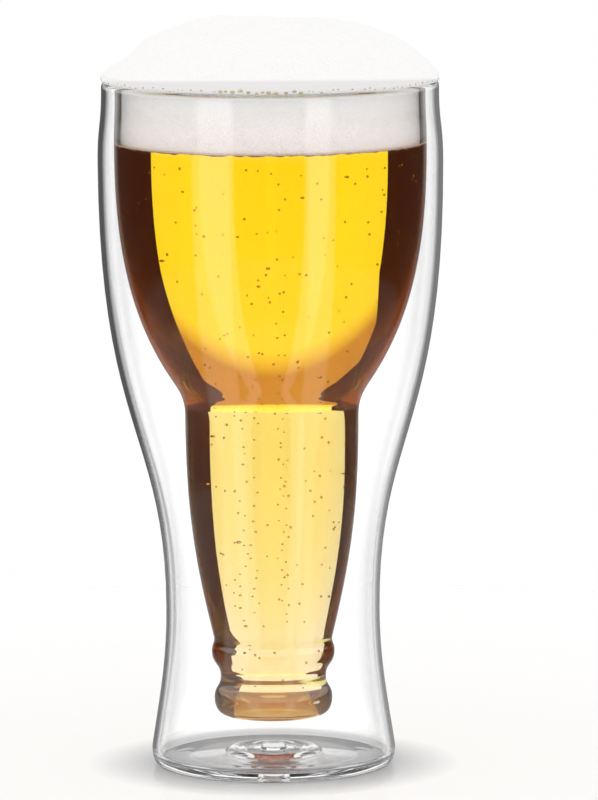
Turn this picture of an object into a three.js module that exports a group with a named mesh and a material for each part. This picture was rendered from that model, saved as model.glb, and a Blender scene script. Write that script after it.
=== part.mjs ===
// Double-walled beer glass. A clear outer glass with a drawn-in waist holds an inner vessel shaped
// like an upturned bottle, which hangs from the fused rim. Beer fills it under a head of foam.
// Millimetres, +Z up. The origin is the middle of the foot, on the surface that the glass stands on.

import * as THREE from "three";

// Inner vessel: radii on its outside
const mouthRadius = 38.6;
const bodyRadius = 38.9;
const shoulderRadius = 26;
const neckRadius = 21.7;
const neckEndRadius = 14.8;
const collarRadius = 15.4;
const grooveRadius = 13.2;
const lipRadius = 14.8;
const soleRadius = 10.5;
const vesselWall = 1.6;

// Inner vessel: heights, each measured down from the one before, from the rim to the sole
const bodyDrop = 17;
const shoulderDrop = 56;
const neckRootDrop = 10.5;
const neckLength = 56.5;
const collarDrop = 3.4;
const grooveDrop = 6.4;
const lipDrop = 5.4;
const soleDrop = 4.5;

// Outer glass
const outerWall = 1.6;
const rimGap = 1.8;
const bellyGap = 2.5;
const bellyDrop = 20;
const waistRadius = 26.75;
const waistRise = 35;
const footRadius = 30.5;
const footEdgeHeight = 4.6;
const footRingRadius = 28.2;
const footRingWidth = 7;
const baseThickness = 2.2;
const puntRadius = 10.5;
const puntRise = 1.4;
const hangGap = 8.7;

// Fused rim
const beadHeight = 1.8;
const beadRound = 0.9;

// Vent in the base, and the plug that seals it
const ventRadius = 2.7;
const flangeRadius = 4;
const flangeThickness = 0.7;
const barbRadius = 3.4;
const barbHeight = 1.2;

// Fill
const headspace = 15;
const crownHeight = 15.8;
const crownEdge = 1.8;
const crownShoulderRadius = 36.5;
const crownShoulderHeight = 8;
const crownTopRadius = 30;
const swells = [
  { x: -15, y: -4, height: 1.6, spread: 9 },
  { x: 22, y: 3, height: 0.9, spread: 9 },
  { x: -4, y: 20, height: 1.1, spread: 8 },
];

// Clearances between pieces that touch, and the length of a facet along a curve
const seatGap = 0.3;
const facetLength = 10;
const facetsAround = 40;
const plugFacetsAround = 24;

// Curves: the share of the rise over which a curve leaves its start and reaches its end
const even = { leave: 0.5, reach: 0.5 };
const bodyCurve = { leave: 0.45, reach: 0.25, endLean: 0.63 };
const neckRootCurve = { leave: 0.35, reach: 0.45, startLean: 0.63 };
const neckCurve = { leave: 0.47, reach: 0.28, endLean: 0.24 };
const footCurve = { leave: 0.34, reach: 0.4, startLean: -0.15 };
const flareCurve = { leave: 0.4, reach: 0.61 };

// Levels that follow from the sizes above
const vesselDepth =
  bodyDrop + shoulderDrop + neckRootDrop + neckLength + collarDrop + grooveDrop + lipDrop + soleDrop;
const baseTop = puntRise + baseThickness;
const soleLevel = baseTop + hangGap;
const rimLevel = soleLevel + vesselDepth;
const beadLevel = rimLevel - beadHeight;
const wallTop = beadLevel - seatGap;
const bellyRadius = bodyRadius + bellyGap + outerWall;
const rimRadius = mouthRadius + rimGap + outerWall;
const waistLevel = footEdgeHeight + waistRise;
const beerLevel = rimLevel - headspace;

// An outline is a list of points with the radius as x and the height as y.
const point = (radius, height) => new THREE.Vector2(radius, height);

// Points along a curve, without its first one, which the outline already has.
function along(curve) {
  const steps = Math.max(3, Math.ceil(curve.getLength() / facetLength));
  return curve.getPoints(steps).slice(1);
}

// Runs an outline on to a radius and height. A lean is the change of radius per height at that end.
function sweep(outline, radius, height, { leave, reach, startLean = 0, endLean = 0 }) {
  const start = outline[outline.length - 1];
  const rise = height - start.y;
  const first = point(start.x + startLean * leave * rise, start.y + leave * rise);
  const second = point(radius - endLean * reach * rise, height - reach * rise);
  outline.push(...along(new THREE.CubicBezierCurve(start, first, second, point(radius, height))));
}

// Rounds an outline's next corner on the way to its end.
function round(outline, corner, end) {
  const start = outline[outline.length - 1];
  outline.push(...along(new THREE.QuadraticBezierCurve(start, corner, end)));
}

// The same outline moved to its left-hand side by a distance, as the far face of a wall is.
function offset(outline, distance) {
  return outline.map((p, i) => {
    const before = outline[Math.max(i - 1, 0)];
    const after = outline[Math.min(i + 1, outline.length - 1)];
    const run = after.clone().sub(before).normalize();
    return point(Math.max(p.x - run.y * distance, 0), p.y + run.x * distance);
  });
}

// Turns an outline around the glass's axis.
function turn(name, outline, material, facets = facetsAround) {
  const geometry = new THREE.LatheGeometry(outline, facets);
  geometry.rotateX(Math.PI / 2);
  const mesh = new THREE.Mesh(geometry, material);
  mesh.name = name;
  return mesh;
}

const glass = new THREE.MeshStandardMaterial({
  color: 0xe4ecec, roughness: 0.03, metalness: 0, transparent: true, opacity: 0.3,
});
const silicone = new THREE.MeshStandardMaterial({ color: 0xd4d8d8, roughness: 0.45, metalness: 0 });
const lager = new THREE.MeshStandardMaterial({
  color: 0xfede02, roughness: 0.05, metalness: 0, transparent: true, opacity: 0.85,
});
const froth = new THREE.MeshStandardMaterial({ color: 0xf5f2ee, roughness: 0.9, metalness: 0 });

// The vessel's outside from the middle of its sole up to its mouth.
function vesselOutside() {
  const outline = [point(mouthRadius, wallTop)];
  let level = rimLevel - bodyDrop;
  sweep(outline, bodyRadius, level, even);
  sweep(outline, shoulderRadius, (level -= shoulderDrop), bodyCurve);
  sweep(outline, neckRadius, (level -= neckRootDrop), neckRootCurve);
  sweep(outline, neckEndRadius, (level -= neckLength), neckCurve);
  sweep(outline, collarRadius, (level -= collarDrop), even);
  sweep(outline, grooveRadius, (level -= grooveDrop), even);
  sweep(outline, lipRadius, (level -= lipDrop), even);
  round(outline, point(lipRadius, soleLevel), point(soleRadius, soleLevel));
  outline.push(point(0, soleLevel));
  return outline.reverse();
}

// The face of the vessel's bore, or a face at a clearance from it, from the middle up to the mouth.
function vesselBore(clearance = 0) {
  const bore = offset(vesselOutside(), vesselWall + clearance);
  bore[bore.length - 1].y = wallTop;
  return bore;
}

// The point of a rising outline at a level.
function pointAt(outline, level) {
  const above = outline.findIndex((p) => p.y >= level);
  const below = outline[above - 1];
  return below.clone().lerp(outline[above], (level - below.y) / (outline[above].y - below.y));
}

function innerVessel() {
  return turn("inner_vessel", [...vesselOutside(), ...vesselBore().reverse()], glass);
}

// The outer glass stands on a flat ring. Inside the ring its base is pushed up, with the vent in it.
function outerGlass() {
  const ringInside = footRingRadius - footRingWidth;
  const wall = [point(footRingRadius, 0)];
  round(wall, point(footRadius, 0), point(footRadius, footEdgeHeight));
  sweep(wall, waistRadius, waistLevel, footCurve);
  sweep(wall, bellyRadius, rimLevel - bellyDrop, flareCurve);
  sweep(wall, rimRadius, wallTop, even);

  const inside = offset(wall, outerWall).filter((p) => p.y > baseThickness + outerWall);
  inside[inside.length - 1].y = wallTop;
  const floorRadius = inside[0].x - outerWall;
  const outline = [
    point(ventRadius, puntRise),
    point(puntRadius, puntRise),
    point(ringInside, 0),
    ...wall,
    ...inside.reverse(),
    point(floorRadius, baseThickness),
    point(ringInside, baseThickness),
    point(puntRadius, baseTop),
    point(ventRadius, baseTop),
    point(ventRadius, puntRise),
  ];
  return turn("outer_glass", outline, glass);
}

// The rim fuses the two walls and closes the air gap between them.
function rimBead() {
  const inside = mouthRadius - vesselWall;
  const outline = [point(inside, beadLevel), point(rimRadius, beadLevel)];
  outline.push(point(rimRadius, rimLevel - beadRound));
  round(outline, point(rimRadius, rimLevel), point(rimRadius - beadRound, rimLevel));
  outline.push(point(inside + beadRound, rimLevel));
  round(outline, point(inside, rimLevel), point(inside, rimLevel - beadRound));
  outline.push(point(inside, beadLevel));
  return turn("rim_bead", outline, glass);
}

// A soft plug: a flange under the base, a stem through the vent and a barb above it.
function ventPlug() {
  const flangeTop = puntRise - seatGap;
  const stemRadius = ventRadius - seatGap;
  const barbLevel = baseTop + seatGap;
  const outline = [
    point(0, flangeTop - flangeThickness),
    point(flangeRadius, flangeTop - flangeThickness),
    point(flangeRadius, flangeTop),
    point(stemRadius, flangeTop),
    point(stemRadius, barbLevel),
    point(barbRadius, barbLevel),
    point(stemRadius, barbLevel + barbHeight),
    point(0, barbLevel + barbHeight),
  ];
  return turn("vent_plug", outline, silicone, plugFacetsAround);
}

function beer() {
  const bore = vesselBore(seatGap);
  const side = bore.filter((p) => p.y < beerLevel);
  return turn("beer", [...side, pointAt(bore, beerLevel), point(0, beerLevel)], lager);
}

// How far the swells of the head lift its crown at a place. They fade out towards its edge.
function swellAt(x, y) {
  const fade = Math.max(0, 1 - (x * x + y * y) / (rimRadius * rimRadius));
  return swells.reduce((sum, s) => {
    const far = ((x - s.x) ** 2 + (y - s.y) ** 2) / (2 * s.spread * s.spread);
    return sum + fade * s.height * Math.exp(-far);
  }, 0);
}

// The head stands in the mouth on the beer, and domes up over the rim.
function foamHead() {
  const bore = vesselBore(seatGap);
  const bottom = beerLevel + seatGap;
  const edge = rimLevel + seatGap;
  const outline = [point(0, bottom), pointAt(bore, bottom), ...bore.filter((p) => p.y > bottom)];
  outline.push(point(mouthRadius - vesselWall - seatGap, edge), point(rimRadius, edge));
  outline.push(point(rimRadius, edge + crownEdge));
  const crown = new THREE.CubicBezierCurve(
    point(rimRadius, edge + crownEdge),
    point(crownShoulderRadius, edge + crownShoulderHeight),
    point(crownTopRadius, edge + crownHeight),
    point(0, edge + crownHeight),
  );
  outline.push(...along(crown));
  const mesh = turn("foam_head", outline, froth);
  const place = mesh.geometry.getAttribute("position");
  for (let i = 0; i < place.count; i += 1) {
    const height = place.getZ(i);
    if (height > edge + crownEdge) place.setZ(i, height + swellAt(place.getX(i), place.getY(i)));
  }
  mesh.geometry.computeVertexNormals();
  return mesh;
}

const beerGlass = new THREE.Group();
beerGlass.add(outerGlass(), innerVessel(), rimBead(), ventPlug(), beer(), foamHead());

export default beerGlass;
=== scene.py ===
# %% [markdown]
# # A double-walled beer glass
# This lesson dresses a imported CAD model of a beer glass. The real glass is blown in two layers: a waisted
# outer wall, and inside it a vessel shaped like an upturned bottle. The two are fused at the rim, so a
# sealed air gap lies between them. Clear glass and beer have almost no colour of their own at the surface:
# what we see is the room, bent. So most of the work is exact outlines, honest thickness and a simple studio.

# %% Load the frame
import math
import random

import bmesh
import bpy
from mathutils import Matrix, Quaternion, Vector, noise
from mathutils.geometry import interpolate_bezier


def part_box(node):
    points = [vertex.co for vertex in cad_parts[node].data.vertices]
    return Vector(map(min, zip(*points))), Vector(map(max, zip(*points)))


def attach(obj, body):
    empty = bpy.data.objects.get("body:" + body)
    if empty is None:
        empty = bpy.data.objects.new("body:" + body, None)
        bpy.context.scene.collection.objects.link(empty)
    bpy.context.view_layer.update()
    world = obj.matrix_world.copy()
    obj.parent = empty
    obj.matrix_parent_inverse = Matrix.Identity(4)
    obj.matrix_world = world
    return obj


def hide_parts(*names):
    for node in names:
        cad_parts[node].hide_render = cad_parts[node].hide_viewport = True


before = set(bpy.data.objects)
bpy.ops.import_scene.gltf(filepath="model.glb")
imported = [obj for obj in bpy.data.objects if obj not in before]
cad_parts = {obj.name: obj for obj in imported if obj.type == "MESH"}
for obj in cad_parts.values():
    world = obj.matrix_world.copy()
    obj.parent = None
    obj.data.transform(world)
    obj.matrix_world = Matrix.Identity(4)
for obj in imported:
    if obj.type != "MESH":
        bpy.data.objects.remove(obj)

MM = 0.001
scene = bpy.context.scene
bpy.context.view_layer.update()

# %% [markdown]
# ## Levels and radii
# The CAD model has faceted solids. We take the levels and the widest radii from it, so the fine surfaces
# land exactly where the solids are, and then name the few sizes in between that its boxes don't give.

# %% Sizes from the frame
rim_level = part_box("rim_bead")[1].z
rim_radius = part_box("rim_bead")[1].x
wall_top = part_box("inner_vessel")[1].z
sole_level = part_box("inner_vessel")[0].z
body_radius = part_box("inner_vessel")[1].x
belly_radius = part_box("outer_glass")[1].x
beer_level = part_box("beer")[1].z
print("rim at", round(rim_level / MM, 1), "mm, belly radius", round(belly_radius / MM, 1), "mm")

# %% Sizes in between, in the same places as in the CAD model
wall = 1.6 * MM
mouth_radius = 38.6 * MM
shoulder_radius = 26.0 * MM
neck_radius = 21.7 * MM
neck_end_radius = 14.8 * MM
collar_radius = 15.4 * MM
groove_radius = 13.2 * MM
lip_radius = 14.8 * MM
sole_radius = 10.5 * MM
body_level = rim_level - 17.0 * MM
shoulder_level = body_level - 56.0 * MM
neck_level = shoulder_level - 10.5 * MM
neck_end_level = neck_level - 56.5 * MM
collar_level = neck_end_level - 3.4 * MM
groove_level = collar_level - 6.4 * MM
lip_level = groove_level - 5.4 * MM

belly_level = rim_level - 20.0 * MM
waist_radius = 26.75 * MM
waist_level = 39.6 * MM
foot_radius = 30.5 * MM
foot_edge_level = 4.6 * MM
foot_ring_radius = 28.2 * MM
foot_ring_width = 7.0 * MM
base_thickness = 2.2 * MM
punt_radius = 10.5 * MM
punt_rise = 1.4 * MM
vent_radius = 2.7 * MM
print("neck", round((neck_level - neck_end_level) / MM, 1), "mm long, lip at", round(lip_level / MM, 1), "mm")

# %% [markdown]
# ## Camera
# The photograph was taken with a long lens from a little above the rim: the ellipse of the rim is flat,
# and the two sides of the foot look nearly level. A long lens far away gives that. The aim point is set
# beside the axis, because the glass stands left of the middle of the frame.

# %% Camera
camera_roll = -0.3
camera_data = bpy.data.cameras.new("photo_camera")
camera_data.lens = 315.45
camera_data.sensor_width = 36.0
camera_data.clip_end = 100.0
camera = bpy.data.objects.new("photo_camera", camera_data)
scene.collection.objects.link(camera)
camera.location = (0.0, -1.737, 0.319)
aim = Vector((6.8 * MM, 0.0, 91.8 * MM))
roll = Quaternion((0.0, 0.0, 1.0), math.radians(camera_roll))
camera.rotation_euler = ((aim - camera.location).to_track_quat("-Z", "Y") @ roll).to_euler()
bpy.context.scene.camera = camera
print("camera", round((aim - camera.location).length, 2), "m from its aim")

# %% [markdown]
# ## Node helpers
# The studio and most of the finishes are sums on a few values: the way that a ray points, how many faces it
# has met, and the place on a surface. Each helper adds one node to a tree and gives back its result, so
# that a finish reads like a formula.

# %% Node helpers
def tie(tree, value, socket):
    """Link a socket to a result, or set it to a number or a colour."""
    if isinstance(value, float):
        socket.default_value = value
    elif isinstance(value, tuple):
        socket.default_value = (*value, 1.0)
    else:
        tree.links.new(value, socket)


def sums(tree, operation, first, second):
    """A sum on two results, or on a result and a number."""
    node = tree.nodes.new("ShaderNodeMath")
    node.operation = operation
    tie(tree, first, node.inputs[0])
    tie(tree, second, node.inputs[1])
    return node.outputs[0]


def stretch(tree, value, low, high, start=0.0, end=1.0, curve="LINEAR"):
    """A range of a value mapped to 0 to 1, or to another range."""
    node = tree.nodes.new("ShaderNodeMapRange")
    node.interpolation_type = curve
    for name, limit in (("From Min", low), ("From Max", high), ("To Min", start), ("To Max", end)):
        node.inputs[name].default_value = limit
    tree.links.new(value, node.inputs["Value"])
    return node.outputs["Result"]


def blend(tree, mask, first, second, mode="MIX"):
    """A blend of two colours by a mask."""
    node = tree.nodes.new("ShaderNodeMix")
    node.data_type = "RGBA"
    node.blend_type = mode
    tie(tree, mask, node.inputs["Factor"])
    tie(tree, first, node.inputs[6])
    tie(tree, second, node.inputs[7])
    return node.outputs[2]


def ramp(tree, value, stops):
    """A colour by a value from 0 to 1, with a stop for each place and colour."""
    node = tree.nodes.new("ShaderNodeValToRGB")
    elements = node.color_ramp.elements
    elements.remove(elements[-1])
    for i, (place, colour) in enumerate(stops):
        stop = elements[0] if i == 0 else elements.new(place)
        stop.position = place
        stop.color = (*colour, 1.0)
    tree.links.new(value, node.inputs["Fac"])
    return node.outputs["Color"]


def either(tree, mask, first, second):
    """One of two shaders by a mask, or a mix of them by a share."""
    node = tree.nodes.new("ShaderNodeMixShader")
    for value, socket in zip((mask, first, second), node.inputs):
        tie(tree, value, socket)
    return node.outputs[0]


# %% [markdown]
# ## Studio
# Glass is photographed in front of a bright wall with dark cards at its sides: the cards give the clear
# walls their dark edges, and make the sides of the beer deep brown. The world does this here by direction.
# A ray straight from the camera sees plain white, a diffuse ray sees even light, and only rays that glass
# has bent or mirrored see a room. Bent rays see the bright wall and the dark cards. Mirrored rays see a dim
# room with two windows, under a white ceiling. Light that has come through the beer has crossed more than
# eight faces, so Transmission Depth tells it apart, and it gets a brown room of its own, with an amber wall
# ahead and a bright one to the left, both low down.

# %% Studio directions, in degrees from the way that the camera looks, left positive
plain_white = (1.0, 1.0, 1.0)
bright_wall = (1.35, 1.35, 1.35)
dark_card = (0.02, 0.02, 0.021)
dim_room = (0.025, 0.024, 0.024)
side_wall = (0.8, 0.8, 0.8)
other_wall = (1.2, 1.2, 1.2)
window = (0.8, 0.8, 0.8)
left_edge = (0.09, 0.09, 0.092)
right_edge = (0.20, 0.20, 0.205)
dim_edge = (0.25, 0.24, 0.235)
brown_card = (0.05, 0.013, 0.008)
beer_wall = (1.25, 1.25, 1.25)
amber_wall = (0.46, 0.25, 0.17)
right_window = [(-155, dim_room), (-154, window), (-136, window), (-135, dim_room)]
left_window = [(125, dim_room), (126, window), (152, window), (153, dim_room)]
vessel_mirror_room = [
    (-180, dim_room), *right_window, (-32, dim_room), (-26, dim_edge), (26, dim_edge), (32, dim_room),
    *left_window,
]
wall_mirror_room = [
    (-180, dim_room), *right_window, (-53, dim_room), (-48, side_wall), (-31, side_wall), (-27, right_edge),
    (-1, right_edge), (1, left_edge), (27, left_edge), (31, side_wall), (48, side_wall), (53, dim_room),
    *left_window,
]
foot_room = [
    (-180, other_wall), (-104, other_wall), (-100, dark_card), (-23, dark_card), (-20, bright_wall),
    (13, bright_wall), (16, dark_card), (100, dark_card), (104, other_wall),
]
low_room = [
    (-180, other_wall), (-104, other_wall), (-100, dark_card), (-23, dark_card), (-20, bright_wall),
    (16, bright_wall), (19, dark_card), (100, dark_card), (104, other_wall),
]
high_room = [
    (-180, other_wall), (-80, other_wall), (-78, dark_card), (-23, dark_card), (-20, bright_wall),
    (16, bright_wall), (19, dark_card), (78, dark_card), (80, other_wall),
]
beer_room = [
    (-180, brown_card), (-24, brown_card), (-20, amber_wall), (16, amber_wall), (22, beer_wall),
    (68, beer_wall), (74, brown_card),
]

# %% Directions and light paths
world = bpy.data.worlds.new("studio")
scene.world = world
world.use_nodes = True
studio = world.node_tree
studio.nodes.clear()
ray = studio.nodes.new("ShaderNodeLightPath")
way = studio.nodes.new("ShaderNodeSeparateXYZ")
studio.links.new(studio.nodes.new("ShaderNodeTexCoord").outputs["Generated"], way.inputs[0])
leftwards = sums(studio, "MULTIPLY", way.outputs["X"], -1.0)
bearing = stretch(studio, sums(studio, "ARCTAN2", leftwards, way.outputs["Y"]), -math.pi, math.pi)
met_none = 0.5
met_outer_wall = 2.5
met_beer = 8.5


def around(stops):
    """The room's walls by their bearing."""
    return ramp(studio, bearing, [((degrees + 180) / 360, colour) for degrees, colour in stops])


def above(degrees, lower, upper, soft=0.5):
    """Two layers of the room, parted softly at a height that the ray points to."""
    low, high = (math.sin(math.radians(degrees + side)) for side in (-soft, soft))
    return blend(studio, stretch(studio, way.outputs["Z"], low, high), lower, upper)


def more_than(depth, limit):
    """A mask of the rays that have met more faces of a kind than a limit."""
    return sums(studio, "GREATER_THAN", ray.outputs[depth], limit)


# %% Rooms
walls = above(-8.3, around(foot_room), above(-4.5, around(low_room), around(high_room)))
walls = above(-17.0, other_wall, walls, soft=2.0)
wall_mirrors = above(2.0, around(wall_mirror_room), plain_white, soft=3.5)
vessel_mirrors = above(7.5, around(vessel_mirror_room), plain_white)
mirrors = blend(studio, more_than("Transmission Depth", met_outer_wall), wall_mirrors, vessel_mirrors)
clear_walls = blend(studio, more_than("Glossy Depth", met_none), walls, mirrors)
beer_walls = above(-11.5, around(beer_room), brown_card, soft=1.0)
rooms = blend(studio, more_than("Transmission Depth", met_beer), clear_walls, beer_walls)
print("studio of", len(studio.nodes), "nodes")

# %% Light
even_light = 1.015


def background(colour, strength=1.0):
    node = studio.nodes.new("ShaderNodeBackground")
    node.inputs["Strength"].default_value = strength
    tie(studio, colour, node.inputs["Color"])
    return node.outputs[0]


bent = sums(studio, "MAXIMUM", ray.outputs["Is Glossy Ray"], ray.outputs["Is Transmission Ray"])
unscattered = sums(studio, "LESS_THAN", ray.outputs["Diffuse Depth"], met_none)
shows_room = sums(studio, "MULTIPLY", bent, unscattered)
lit = either(studio, shows_room, background(plain_white, even_light), background(rooms))
seen = either(studio, ray.outputs["Is Camera Ray"], lit, background(plain_white))
studio.links.new(seen, studio.nodes.new("ShaderNodeOutputWorld").inputs["Surface"])
scene.view_settings.view_transform = "Standard"
scene.cycles.max_bounces = 40
scene.cycles.transmission_bounces = 40
scene.cycles.glossy_bounces = 16
scene.cycles.blur_glossy = 0.0
scene.cycles.caustics_refractive = True
scene.cycles.use_denoising = True
print("even light", even_light, "and up to", scene.cycles.max_bounces, "bounces")

# %% [markdown]
# ## Floor
# The glass stands on a polished white sheet that mirrors its foot. Only the part around the glass has to
# be there: further out the sheet fades into the white room, so no edge or horizon shows. What the glass
# bends is to be the studio and not the floor, so the sheet also fades for light that has come through
# glass, and it isn't there at all for light from the beer, except in front of the glass.

# %% Floor finish
floor_material = bpy.data.materials.new("polished_white_sheet")
floor_material.use_nodes = True
sheet = floor_material.node_tree
shader = sheet.nodes["Principled BSDF"]
shader.inputs["Specular IOR Level"].default_value = 0.0
shader.inputs["Emission Strength"].default_value = 0.03
place = sheet.nodes.new("ShaderNodeTexCoord").outputs["Object"]
across = sheet.nodes.new("ShaderNodeSeparateXYZ")
sheet.links.new(place, across.inputs[0])
radial = sheet.nodes.new("ShaderNodeVectorMath")
radial.operation = "LENGTH"
sheet.links.new(place, radial.inputs[0])
distance = radial.outputs["Value"]
# A painted contact shadow: the sheet's colour is darker under and around the foot, and the same ramp dims its
# faint glow there.
painted_contact_shadow = ramp(sheet, distance, [(0.026, (0.40, 0.41, 0.42)), (0.046, plain_white)])
sheet.links.new(painted_contact_shadow, shader.inputs["Base Color"])
sheet.links.new(painted_contact_shadow, shader.inputs["Emission Color"])
print("floor with an emission of", round(shader.inputs["Emission Strength"].default_value, 2))

# %% Where the floor fades
mirror_fade = 0.85
glass_fade = 0.7
floor_ray = sheet.nodes.new("ShaderNodeLightPath")
far_gone = stretch(sheet, distance, 0.08, 0.40, curve="SMOOTHSTEP")
mirror_gone = sums(sheet, "MULTIPLY", floor_ray.outputs["Glossy Depth"], mirror_fade)
from_beer = sums(sheet, "GREATER_THAN", floor_ray.outputs["Transmission Depth"], met_beer)
from_any = sums(sheet, "GREATER_THAN", floor_ray.outputs["Transmission Depth"], met_none)
from_glass = sums(sheet, "SUBTRACT", from_any, from_beer)
beer_gone = sums(sheet, "MULTIPLY", from_beer, stretch(sheet, across.outputs["Y"], -0.040, -0.030))
beside_foot = sums(sheet, "MULTIPLY", stretch(sheet, distance, 0.046, 0.060), glass_fade)
glass_gone = sums(sheet, "MULTIPLY", from_glass, beside_foot)
gone = sums(sheet, "MAXIMUM", far_gone, mirror_gone)
gone = sums(sheet, "MAXIMUM", gone, sums(sheet, "MAXIMUM", beer_gone, glass_gone))
print("floor finish of", len(sheet.nodes), "nodes")

# %% Floor
floor_reach = 0.6
polish_share = 0.17


def placed(name, bm, material):
    """Make a bmesh an object with a finish."""
    mesh = bpy.data.meshes.new(name)
    bm.to_mesh(mesh)
    bm.free()
    mesh.materials.append(material)
    piece = bpy.data.objects.new(name, mesh)
    scene.collection.objects.link(piece)
    print(name, len(mesh.polygons), "faces")
    return piece


polish = sheet.nodes.new("ShaderNodeBsdfGlossy")
polish.inputs["Roughness"].default_value = 0.05
polished = either(sheet, polish_share, shader.outputs[0], polish.outputs[0])
clear = sheet.nodes.new("ShaderNodeBsdfTransparent").outputs[0]
sheet.links.new(either(sheet, gone, polished, clear), sheet.nodes["Material Output"].inputs["Surface"])
bm = bmesh.new()
bmesh.ops.create_circle(bm, cap_ends=True, radius=floor_reach, segments=96)
floor = placed("floor", bm, floor_material)

# %% [markdown]
# ## Reflector
# Beer in a glass swallows light, so photographers stand a small white card close behind the glass. The
# beer is a thick lens that gathers the card's light, and beyond the card's edges it shows the dark room:
# that gives the sharp brown bands at the sides. The lens swaps left and right. Only rays that have come
# through the beer see this card, so it never stands in the picture itself. Where they were mirrored inside
# the beer on the way, as in the lip, the card looks dimmer and more amber.

# %% Reflector card
card_distance = 250.0
card_edges = [  # height, left edge and right edge
    (-45, -150, 72), (0, -150, 76), (30, -150, 82), (48, -146, 98), (88, -134, 102), (98, -88, 93),
    (140, -90, 93), (166, -112, 86), (196, -112, 82),
]


def card_piece(bm, bearing, edges):
    """Bridge a row of level edges into a card that faces the glass."""
    facing = Matrix.Rotation(math.radians(bearing), 3, "Z")
    rows = []
    for height, distance, left, right in edges:
        ends = [bm.verts.new(facing @ Vector((side, distance, height)) * MM) for side in (left, right)]
        rows.append(bm.edges.new(ends))
    for lower, upper in zip(rows, rows[1:]):
        bmesh.ops.bridge_loops(bm, edges=[lower, upper])


card_bm = bmesh.new()
card_piece(card_bm, 0.0, [(height, card_distance, *sides) for height, *sides in card_edges])
print("card of", len(card_bm.faces), "faces,", card_distance, "mm behind the axis")

# %% Card finish
card_height = 240
shoulder_tone = (0.57, 0.295, 0.25)
card_shades = [
    (0, (0.86, 0.79, 1.5)), (88, (0.88, 0.84, 1.7)), (98, (1.0, 1.0, 1.3)), (120, (1.0, 1.0, 1.1)),
    (136, (1.0, 0.93, 0.5)), (149, (1.04, 0.90, 0.58)), (164, shoulder_tone), (card_height, shoulder_tone),
]
mirrored_tint = (0.60, 0.40, 0.13)


def card_finish(name, strength, shades):
    """A glow by height that only light from the beer sees."""
    material = bpy.data.materials.new(name)
    material.use_nodes = True
    tree = material.node_tree
    tree.nodes.remove(tree.nodes["Principled BSDF"])
    ray = tree.nodes.new("ShaderNodeLightPath")
    from_beer = sums(tree, "GREATER_THAN", ray.outputs["Transmission Depth"], met_beer)
    unscattered = sums(tree, "LESS_THAN", ray.outputs["Diffuse Depth"], met_none)
    mirrored = sums(tree, "GREATER_THAN", ray.outputs["Glossy Depth"], met_none)
    place = tree.nodes.new("ShaderNodeSeparateXYZ")
    tree.links.new(tree.nodes.new("ShaderNodeTexCoord").outputs["Object"], place.inputs[0])
    rise = stretch(tree, place.outputs["Z"], 0.0, card_height * MM)
    shade = ramp(tree, rise, [(level / card_height, colour) for level, colour in shades])
    glow = tree.nodes.new("ShaderNodeEmission")
    glow.inputs["Strength"].default_value = strength
    tree.links.new(blend(tree, mirrored, shade, mirrored_tint, mode="MULTIPLY"), glow.inputs["Color"])
    clear = tree.nodes.new("ShaderNodeBsdfTransparent").outputs[0]
    surface = either(tree, sums(tree, "MULTIPLY", from_beer, unscattered), clear, glow.outputs[0])
    tree.links.new(surface, tree.nodes["Material Output"].inputs["Surface"])
    return material


card = placed("reflector_card", card_bm, card_finish("reflector_white", 1.5, card_shades))

# %% [markdown]
# The beer focuses what lies behind it into a line about 65 mm from the axis. A strip of light there, a few
# millimetres wide, fills the middle of the beer with light from its own side and from no other. So one
# strip for each other side keeps the beer golden all around, and the photographed side stays as it is.

# %% Focus strips
whole_strip = [  # height, distance, left edge and right edge
    (15, 65, -12, 12), (90, 65, -12, 12), (100, 65, -8, 8), (125, 65, -3.2, 3.2), (175, 65, -3.2, 3.2),
]
body_strip = [
    (88, 41, -2.4, 2.4), (97, 46, -3.2, 3.2), (110, 54, -3.4, 3.4), (125, 62, -3.2, 3.2),
    (140, 65, -3.2, 3.2), (175, 65, -3.2, 3.2),
]
bm = bmesh.new()
for side in (90.0, 135.0, 180.0, -135.0, -90.0):
    card_piece(bm, side, whole_strip)
for side in (45.0, -45.0):
    card_piece(bm, side, body_strip)
strips = placed("focus_strips", bm, card_finish("strip_white", 1.35, [(0, plain_white)]))

# %% [markdown]
# ## Outlines
# Every piece of this glass is round, so each starts as a half outline in the XZ plane and is spun about
# the axis. The outlines are a handful of Bezier curves between the named radii and levels.

# %% Outline helpers
curve_steps = 22


def point(radius, level):
    return Vector((radius, 0.0, level))


def sweep(outline, radius, level, leave=0.5, reach=0.5, start_lean=0.0, end_lean=0.0):
    """Run an outline on to a radius and level. A lean is the change of radius per rise at that end."""
    start, end = outline[-1], point(radius, level)
    rise = level - start.z
    first = start + point(start_lean, 1.0) * leave * rise
    second = end - point(end_lean, 1.0) * reach * rise
    outline += interpolate_bezier(start, first, second, end, curve_steps)[1:]


def round_corner(outline, corner, end):
    """Round an outline's next corner on the way to its end."""
    start = outline[-1]
    first, second = start.lerp(corner, 2 / 3), end.lerp(corner, 2 / 3)
    outline += interpolate_bezier(start, first, second, end, curve_steps)[1:]


def offset(outline, distance):
    """The same outline moved to its left-hand side, as the far face of a wall is."""
    moved = []
    for i, place in enumerate(outline):
        run = outline[min(i + 1, len(outline) - 1)] - outline[max(i - 1, 0)]
        run.normalize()
        moved.append(point(max(place.x - run.z * distance, 0.0), place.z + run.x * distance))
    return moved


def cut_at(outline, level):
    """The part of a rising outline below a level, ending on that level."""
    below = [place for place in outline if place.z < level]
    above = outline[len(below)]
    share = (level - below[-1].z) / (above.z - below[-1].z)
    return below + [below[-1].lerp(above, share)]


# %% Helpers that make a piece
turn_steps = 148
merge_distance = 0.001 * MM


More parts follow.
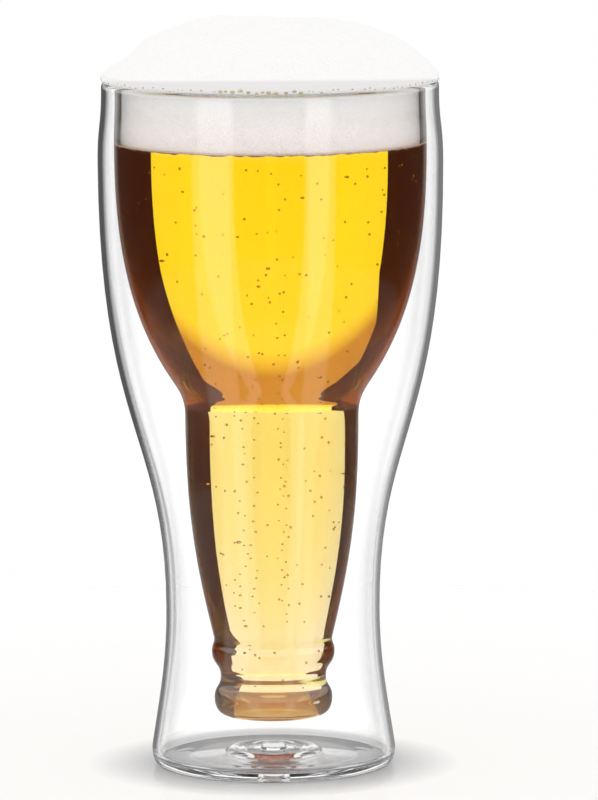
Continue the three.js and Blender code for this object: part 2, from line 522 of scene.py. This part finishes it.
def spun(outline, steps=turn_steps):
    """A bmesh of an outline turned once around the axis, with its faces pointing out."""
    bm = bmesh.new()
    verts = [bm.verts.new(place) for place in outline]
    edges = [bm.edges.new(pair) for pair in zip(verts, verts[1:])]
    bmesh.ops.spin(
        bm, geom=verts + edges, cent=(0, 0, 0), axis=(0, 0, 1), angle=math.tau, steps=steps, use_merge=True
    )
    bmesh.ops.remove_doubles(bm, verts=bm.verts, dist=merge_distance)
    bmesh.ops.recalc_face_normals(bm, faces=bm.faces)
    return bm


def finished(name, bm, material, slot, *replaced):
    """Make a bmesh a smooth piece that rides on the glass's one body."""
    piece = placed(name, bm, material)
    piece.data.shade_smooth()
    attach(piece, "root")
    if replaced:
        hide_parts(*replaced)


# %% [markdown]
# ## Finishes
# No real surface is quite even. One node group makes a soft noise in the object's own coordinates. Each
# material takes it in its own size: as a ripple in the blown glass, as a mottle in the plug and as a change
# of tone from bubble to bubble.

# %% A shared unevenness
uneven = bpy.data.node_groups.new("uneven_surface", "ShaderNodeTree")
uneven.interface.new_socket("Scale", in_out="INPUT", socket_type="NodeSocketFloat")
uneven.interface.new_socket("Height", in_out="OUTPUT", socket_type="NodeSocketFloat")
inside = uneven.nodes.new("NodeGroupInput")
place = uneven.nodes.new("ShaderNodeTexCoord")
waves = uneven.nodes.new("ShaderNodeTexNoise")
waves.inputs["Detail"].default_value = 2.0
uneven.links.new(inside.outputs["Scale"], waves.inputs["Scale"])
uneven.links.new(place.outputs["Object"], waves.inputs["Vector"])
uneven.links.new(waves.outputs["Fac"], uneven.nodes.new("NodeGroupOutput").inputs["Height"])


def unevenness(tree, scale):
    """The shared group in a material, at a size of its own."""
    group = tree.nodes.new("ShaderNodeGroup")
    group.node_tree = uneven
    group.inputs["Scale"].default_value = scale
    return group.outputs["Height"]


def ripple(tree, shader, scale, depth):
    """A faint ripple of the surface."""
    bump = tree.nodes.new("ShaderNodeBump")
    bump.inputs["Distance"].default_value = depth
    tree.links.new(unevenness(tree, scale), bump.inputs["Height"])
    tree.links.new(bump.outputs["Normal"], shader.inputs["Normal"])


def mottle(tree, shader, scale, first, second):
    """A base colour that wanders between two tones."""
    tree.links.new(blend(tree, unevenness(tree, scale), first, second), shader.inputs["Base Color"])


print("node group", uneven.name, "with", len(uneven.nodes), "nodes")

# %% [markdown]
# Clear glass is a Principled shader with full transmission. A shadow ray would stop at it, because bent
# light can't be aimed at a lamp, so shadow rays see a transparent surface instead.

# %% Clear glass
def new_finish(name, roughness):
    material = bpy.data.materials.new(name)
    material.use_nodes = True
    tree = material.node_tree
    shader = tree.nodes["Principled BSDF"]
    shader.inputs["Roughness"].default_value = roughness
    return material, tree, shader


def clear_finish(name, roughness, ior, transmission=1.0):
    material, tree, shader = new_finish(name, roughness)
    shader.inputs["IOR"].default_value = ior
    shader.inputs["Transmission Weight"].default_value = transmission
    return material, tree, shader


def let_lamps_through(tree, shader):
    """Light that a lamp or the room sends to a surface behind clear stuff passes it unbent."""
    ray = tree.nodes.new("ShaderNodeLightPath")
    clear = tree.nodes.new("ShaderNodeBsdfTransparent").outputs[0]
    surface = either(tree, ray.outputs["Is Shadow Ray"], shader.outputs[0], clear)
    tree.links.new(surface, tree.nodes["Material Output"].inputs["Surface"])


glass, tree, shader = clear_finish("blown_glass", roughness=0.0, ior=1.47)
shader.inputs["Base Color"].default_value = (1.0, 1.0, 1.0, 1.0)
ripple(tree, shader, 45.0, 0.006 * MM)
let_lamps_through(tree, shader)
print("glass with an IOR of", round(shader.inputs["IOR"].default_value, 2))

# %% [markdown]
# ## The blown glass
# The outer wall, the inner vessel and the rim between them are one fused piece of glass, so no face may
# cut through it: a hidden joint would mirror light and draw a line. One outline does it. It starts at the
# bottom of the vessel, climbs its outside, turns under the rim, goes down the inside of the outer wall and
# across the base to the vent hole, and comes back around the foot, up the outside, over the rim and down
# the bore. The first part is the skin of the air gap, and the second is what hands and beer touch.

# %% Skin of the vessel
vessel = [point(mouth_radius, wall_top)]
sweep(vessel, body_radius, body_level)
sweep(vessel, shoulder_radius, shoulder_level, leave=0.45, reach=0.25, end_lean=0.63)
sweep(vessel, neck_radius, neck_level, leave=0.35, reach=0.45, start_lean=0.63)
sweep(vessel, neck_end_radius, neck_end_level, leave=0.47, reach=0.28, end_lean=0.24)
sweep(vessel, collar_radius, collar_level)
sweep(vessel, groove_radius, groove_level)
sweep(vessel, lip_radius, lip_level)
round_corner(vessel, point(lip_radius, sole_level), point(sole_radius, sole_level))
vessel.append(point(0.0, sole_level))
vessel.reverse()
bore = offset(vessel, wall)
bore[-1].z = wall_top
print("vessel outline of", len(vessel), "points")

# %% Skin of the outer wall
outside = [point(foot_ring_radius, 0.0)]
round_corner(outside, point(foot_radius, 0.0), point(foot_radius, foot_edge_level))
sweep(outside, waist_radius, waist_level, leave=0.34, reach=0.4, start_lean=-0.15)
sweep(outside, belly_radius, belly_level, leave=0.4, reach=0.61)
sweep(outside, rim_radius, wall_top)
gap_side = [place for place in offset(outside, wall) if place.z > base_thickness + wall]
gap_side[-1].z = wall_top
gap_side.reverse()
print("outer outline of", len(outside), "points")

# %% Skin of the base
ring_inside = foot_ring_radius - foot_ring_width
base_top = punt_rise + base_thickness
ridge_rise = 0.5 * MM
ridge_half = 1.0 * MM
slope_end = 1.6 * MM
slope_lean = -7.0
gap_corner = point(gap_side[-1].x, base_thickness)
round_corner(gap_side, gap_corner, point(gap_side[-1].x - 2 * wall, base_thickness))
gap_side.append(point(ring_inside, base_thickness))
sweep(
    gap_side, punt_radius + slope_end, base_top - ridge_rise,
    leave=0.1, reach=0.1, start_lean=slope_lean, end_lean=slope_lean,
)
ridge = point(punt_radius, base_top + ridge_rise)
ridge_foot = point(punt_radius - 2 * ridge_half, base_top)
round_corner(gap_side, point(punt_radius + ridge_half, ridge.z), ridge)
round_corner(gap_side, point(punt_radius - ridge_half, ridge.z), ridge_foot)
gap_side.append(point(vent_radius, base_top))
underside = [point(vent_radius, punt_rise), point(punt_radius, punt_rise), point(ring_inside, 0.0)]
print("base", round(base_top / MM, 1), "mm high at the vent")

# %% Fused rim and the whole glass
bead_round = 1.7 * MM
bore_radius = mouth_radius - wall
arch_level = rim_level - 1.8 * MM
arch_ends = [point(vessel[-1].x, arch_level), point(gap_side[0].x, arch_level)]
arch_rise = point(0.0, (arch_ends[1] - arch_ends[0]).length / 2)
under_rim = [vessel[-1], arch_ends[0]]
round_corner(under_rim, arch_ends[0] + arch_rise, arch_ends[0].lerp(arch_ends[1], 0.5) + arch_rise)
round_corner(under_rim, arch_ends[1] + arch_rise, arch_ends[1])
under_rim.append(gap_side[0])
over_rim = [outside[-1], point(rim_radius, rim_level - bead_round)]
round_corner(over_rim, point(rim_radius, rim_level), point(rim_radius - bead_round, rim_level))
over_rim.append(point(bore_radius + bead_round, rim_level))
round_corner(over_rim, point(bore_radius, rim_level), point(bore_radius, rim_level - bead_round))
air_skin = vessel + under_rim[1:] + gap_side[1:]
outer_skin = underside + outside + over_rim[1:] + bore[::-1]
finished(
    "blown_glass", spun(air_skin + outer_skin), glass, "clear_glass", "outer_glass", "inner_vessel", "rim_bead"
)

# %% [markdown]
# ## The vent plug
# The base is blown with a small hole, so that the air in the gap can escape, and a soft clear plug closes
# it: a flange below, a stem in the hole and a barb above. Silicone is a little cloudier than glass.

# %% Vent plug
plug_gap = 0.02 * MM
barb_radius = 3.4 * MM
silicone, tree, shader = clear_finish("soft_silicone", roughness=0.12, ior=1.41)
mottle(tree, shader, 700.0, (0.90, 0.93, 0.93), (0.96, 0.97, 0.97))
ripple(tree, shader, 900.0, 0.02 * MM)
plug_low, plug_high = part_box("vent_plug")
flange_radius = plug_high.x
flange_top = punt_rise - plug_gap
stem_radius = vent_radius - plug_gap
barb_level = base_top + plug_gap
plug = [
    point(0.0, plug_low.z), point(flange_radius, plug_low.z), point(flange_radius, flange_top),
    point(stem_radius, flange_top), point(stem_radius, barb_level), point(barb_radius, barb_level),
    point(stem_radius, plug_high.z), point(0.0, plug_high.z),
]
finished("vent_stopper", spun(plug, steps=48), silicone, "clear_silicone", "vent_plug")

# %% [markdown]
# ## The beer
# Beer gets its colour from its depth: it swallows blue at once and green slowly. A volume absorption does
# that. The fill reaches a tenth of a millimetre into the wall of the vessel, so there is no film of air
# between them that would mirror light.

# %% Beer
contact = 0.12 * MM
lager, tree, shader = clear_finish("lager", roughness=0.0, ior=1.34)
mottle(tree, shader, 30.0, (1.0, 1.0, 1.0), (0.985, 0.98, 0.97))
let_lamps_through(tree, shader)
absorption = tree.nodes.new("ShaderNodeVolumeAbsorption")
absorption.inputs["Color"].default_value = (0.999, 0.905, 0.0, 1.0)
absorption.inputs["Density"].default_value = 62.0
tree.links.new(absorption.outputs["Volume"], tree.nodes["Material Output"].inputs["Volume"])
beer_outline = cut_at(offset(vessel, wall - contact), beer_level)
beer_outline.append(point(0.0, beer_level))
finished("beer_fill", spun(beer_outline), lager, "pale_beer", "beer")

# %% [markdown]
# ## Bubbles
# Gas comes out of the beer as small bubbles. Most cling to the wall, and a few rise in strings. Each is a
# tiny icosphere, and one mesh holds them all, with a fixed seed so that they are the same every time. More
# of them are put at the front, where they show.

# %% Bubble helpers
gas, tree, shader = clear_finish("gas_bubble", roughness=0.02, ior=1.25)
mottle(tree, shader, 400.0, (0.70, 0.44, 0.12), (0.90, 0.68, 0.24))
let_lamps_through(tree, shader)
draw = random.Random(11)
bore_levels = [place for place in bore if place.x > 5.0 * MM]


def radius_at(outline, level):
    """The radius of a rising outline at a level."""
    for lower, upper in zip(outline, outline[1:]):
        if lower.z <= level <= upper.z:
            return lower.x + (upper.x - lower.x) * (level - lower.z) / (upper.z - lower.z)
    return outline[0].x


def beside_axis(out, turn, level):
    return Vector((out * math.cos(turn), out * math.sin(turn), level))


def bubble(bm, centre, radius, squash=1.0):
    """A round bubble, or one that is squashed flat."""
    place = Matrix.Translation(centre) @ Matrix.Diagonal((1.0, 1.0, squash, 1.0))
    bmesh.ops.create_icosphere(bm, subdivisions=2, radius=radius, matrix=place)


print("bubbles between", round(bore_levels[0].z / MM, 1), "and", round(beer_level / MM, 1), "mm")

# %% Bubbles on the wall and in strings
bm = bmesh.new()
wall_bubbles = 0
while wall_bubbles < 330:
    level = draw.uniform(18.0 * MM, beer_level - 3.0 * MM)
    side = radius_at(bore_levels, level)
    if draw.random() > side / body_radius:
        continue
    size = draw.uniform(0.20, 0.35) * MM
    turn = draw.uniform(0.0, math.tau)
    if math.sin(turn) > 0.3 and draw.random() < 0.6:
        turn = -turn
    out = side - size - draw.uniform(0.2, 0.8) * MM
    bubble(bm, beside_axis(out, turn, level), size)
    wall_bubbles += 1
for string in range(4):
    turn, out = draw.uniform(0.0, math.tau), draw.uniform(2.0, 8.5) * MM
    level, step = draw.uniform(20.0, 50.0) * MM, 2.2 * MM
    top = draw.uniform(80.0, 150.0) * MM
    while level < top:
        sway = Vector((draw.uniform(-0.8, 0.8) * MM, draw.uniform(-0.8, 0.8) * MM, 0.0))
        bubble(bm, beside_axis(out, turn, level) + sway, draw.uniform(0.16, 0.26) * MM)
        level += step * draw.uniform(0.7, 1.5)
        step *= 1.05
finished("gas_bubbles", bm, gas, "pale_beer")

# %% [markdown]
# ## Foam
# The head is a froth of bubbles under a millimetre across, so from here it is a matt white with a fine
# grain. It is coarser and pinker at the bottom, where beer drains out of it, and it hangs into the beer
# with an uneven edge and an underside soaked brown. Just above the rim it gets a painted grey shade. The
# dome is spun and then lifted by swells like those of the CAD solid, and by noise.

# %% Foam grain
froth, tree, shader = new_finish("froth", roughness=0.85)
place = tree.nodes.new("ShaderNodeTexCoord").outputs["Object"]
across = tree.nodes.new("ShaderNodeSeparateXYZ")
tree.links.new(place, across.inputs[0])
cells = tree.nodes.new("ShaderNodeTexVoronoi")
cells.feature = "DISTANCE_TO_EDGE"
cells.inputs["Scale"].default_value = 1300.0
tree.links.new(place, cells.inputs["Vector"])
patches = tree.nodes.new("ShaderNodeTexNoise")
patches.inputs["Scale"].default_value = 420.0
patches.inputs["Detail"].default_value = 4.0
tree.links.new(place, patches.inputs["Vector"])
films = stretch(tree, cells.outputs["Distance"], 0.0, 0.22, start=1.0, end=0.0)
grain = sums(tree, "MULTIPLY", films, patches.outputs["Fac"])
bump = tree.nodes.new("ShaderNodeBump")
bump.inputs["Strength"].default_value = 0.35
bump.inputs["Distance"].default_value = 0.25 * MM
tree.links.new(cells.outputs["Distance"], bump.inputs["Height"])
tree.links.new(bump.outputs["Normal"], shader.inputs["Normal"])
print("foam cells", round(1.0 / cells.inputs["Scale"].default_value / MM, 2), "mm across")

# %% Foam tones
dry_white = (0.975, 0.972, 0.967)
drained_pink = (0.86, 0.79, 0.775)
film_tone = (0.62, 0.52, 0.48)
painted_rim_shade = (0.82, 0.805, 0.80)
soaked_brown = (0.42, 0.24, 0.15)
rim_shade_slope = 0.080
up = across.outputs["Z"]
drained = stretch(tree, up, beer_level + 13.0 * MM, beer_level - 1.0 * MM)
grain_depth = stretch(tree, drained, 0.0, 1.0, start=0.22, end=0.75)
tone = blend(tree, drained, dry_white, drained_pink)
tone = blend(tree, sums(tree, "MULTIPLY", grain, grain_depth), tone, film_tone)
# A painted grey shade on the foam just above the rim, in a band that reaches higher towards the front and
# back.
rim_shade_reach = sums(tree, "MULTIPLY", sums(tree, "ABSOLUTE", across.outputs["Y"], 0.0), rim_shade_slope)
rim_shade_level = sums(tree, "SUBTRACT", up, rim_shade_reach)
rim_shade_mask = stretch(tree, rim_shade_level, rim_level + 0.35 * MM, rim_level - 0.35 * MM)
over_rim_only = sums(tree, "GREATER_THAN", up, rim_level + 0.01 * MM)
tone = blend(tree, sums(tree, "MULTIPLY", rim_shade_mask, over_rim_only), tone, painted_rim_shade)
soaked = stretch(tree, up, beer_level - 0.25 * MM, beer_level - 0.40 * MM)
tree.links.new(blend(tree, soaked, tone, soaked_brown), shader.inputs["Base Color"])
print("foam finish of", len(tree.nodes), "nodes")

# %% Foam outline
hang = 0.5 * MM
crown_edge = 1.8 * MM
crown_height = 15.8 * MM
crown_steps = 70
foam_gap = 0.06 * MM
foam_wall = [place for place in offset(vessel, wall + foam_gap) if place.z > beer_level + 1.5 * MM]
foam_side = foam_wall[0].x
foam_outline = [point(0.0, beer_level - hang), point(foam_side - 3.0 * MM, beer_level - hang)]
foam_outline += [point(foam_side, beer_level - hang), *foam_wall]
foam_outline += [point(foam_wall[-1].x, rim_level + foam_gap), point(rim_radius, rim_level + foam_gap)]
foam_outline.append(point(rim_radius, rim_level + crown_edge))
crown_shoulder = point(36.5 * MM, rim_level + 8.0 * MM)
crown_shelf = point(30.0 * MM, rim_level + crown_height)
crown_top = point(0.0, rim_level + crown_height)
foam_outline += interpolate_bezier(foam_outline[-1], crown_shoulder, crown_shelf, crown_top, crown_steps)[1:]
print("foam outline of", len(foam_outline), "points")

# %% Foam head
swells = [  # place, height and spread
    (-14.0, -4.0, 2.1, 7.5), (4.0, 0.0, -1.0, 6.0), (17.0, 3.0, 1.3, 7.5), (-4.0, 20.0, 0.8, 8.0),
]
sink = 0.9 * MM
lump_height = 0.45 * MM
lump_size = 9.0 * MM
fringe_height = 0.45 * MM
fringe_size = 1.6 * MM
squeeze = 2.6 * MM
squeeze_level = 6.6 * MM
squeeze_spread = 3.3 * MM
bm = spun(foam_outline, steps=240)
bm.normal_update()
for vert in bm.verts:
    above_edge = vert.co.z - (rim_level + crown_edge)
    if vert.co.z < beer_level and vert.co.xy.length > foam_side - 1.0 * MM:
        vert.co.z += fringe_height * noise.fractal(vert.co / fringe_size, 1.0, 2.0, 2)
    elif above_edge > 0.01 * MM:
        fade = max(0.0, 1.0 - (vert.co.xy.length / rim_radius) ** 2)
        lift = 0.0
        for x, y, swell, spread in swells:
            far = (vert.co.xy - Vector((x, y)) * MM).length / (spread * MM)
            lift += swell * MM * math.exp(-far * far / 2)
        lump = noise.fractal(vert.co / lump_size, 1.0, 2.0, 3)
        left = max(0.0, -vert.co.x / max(vert.co.xy.length, MM)) ** 1.5
        height = (vert.co.z - rim_level - squeeze_level) / squeeze_spread
        vert.co.x += squeeze * left * math.exp(-height * height)
        vert.co.z += fade * (lift - sink)
        vert.co += vert.normal * lump * lump_height * min(1.0, above_edge / (2.0 * MM))
finished("foam_head_dome", bm, froth, "beer_foam", "foam_head")

# %% [markdown]
# ## Bubbles at the rim
# Where the foam meets the rim, beer has dried out of it into a row of flat amber bubbles. They are larger
# and closer together in the middle of the front.

# %% Rim bubbles
amber, tree, shader = clear_finish("amber_bubble", roughness=0.08, ior=1.33, transmission=0.6)
mottle(tree, shader, 350.0, (0.52, 0.38, 0.20), (0.90, 0.76, 0.40))
let_lamps_through(tree, shader)
bm = bmesh.new()
turn = 0.0
while turn < math.tau:
    front = math.sin(turn) < 0.0 and -13.0 < rim_radius / MM * math.cos(turn) < 8.0
    size = draw.uniform(0.5, 0.85) * MM if front else draw.uniform(0.2, 0.45) * MM
    squash = draw.uniform(0.5, 0.8)
    centre = beside_axis(rim_radius - 0.55 * size, turn, rim_level + draw.uniform(0.2, 0.9) * MM)
    bubble(bm, centre, size, squash)
    turn += size / rim_radius * (draw.uniform(1.8, 3.2) if front else draw.uniform(2.5, 11.0))
finished("rim_bubbles", bm, amber, "pale_beer")
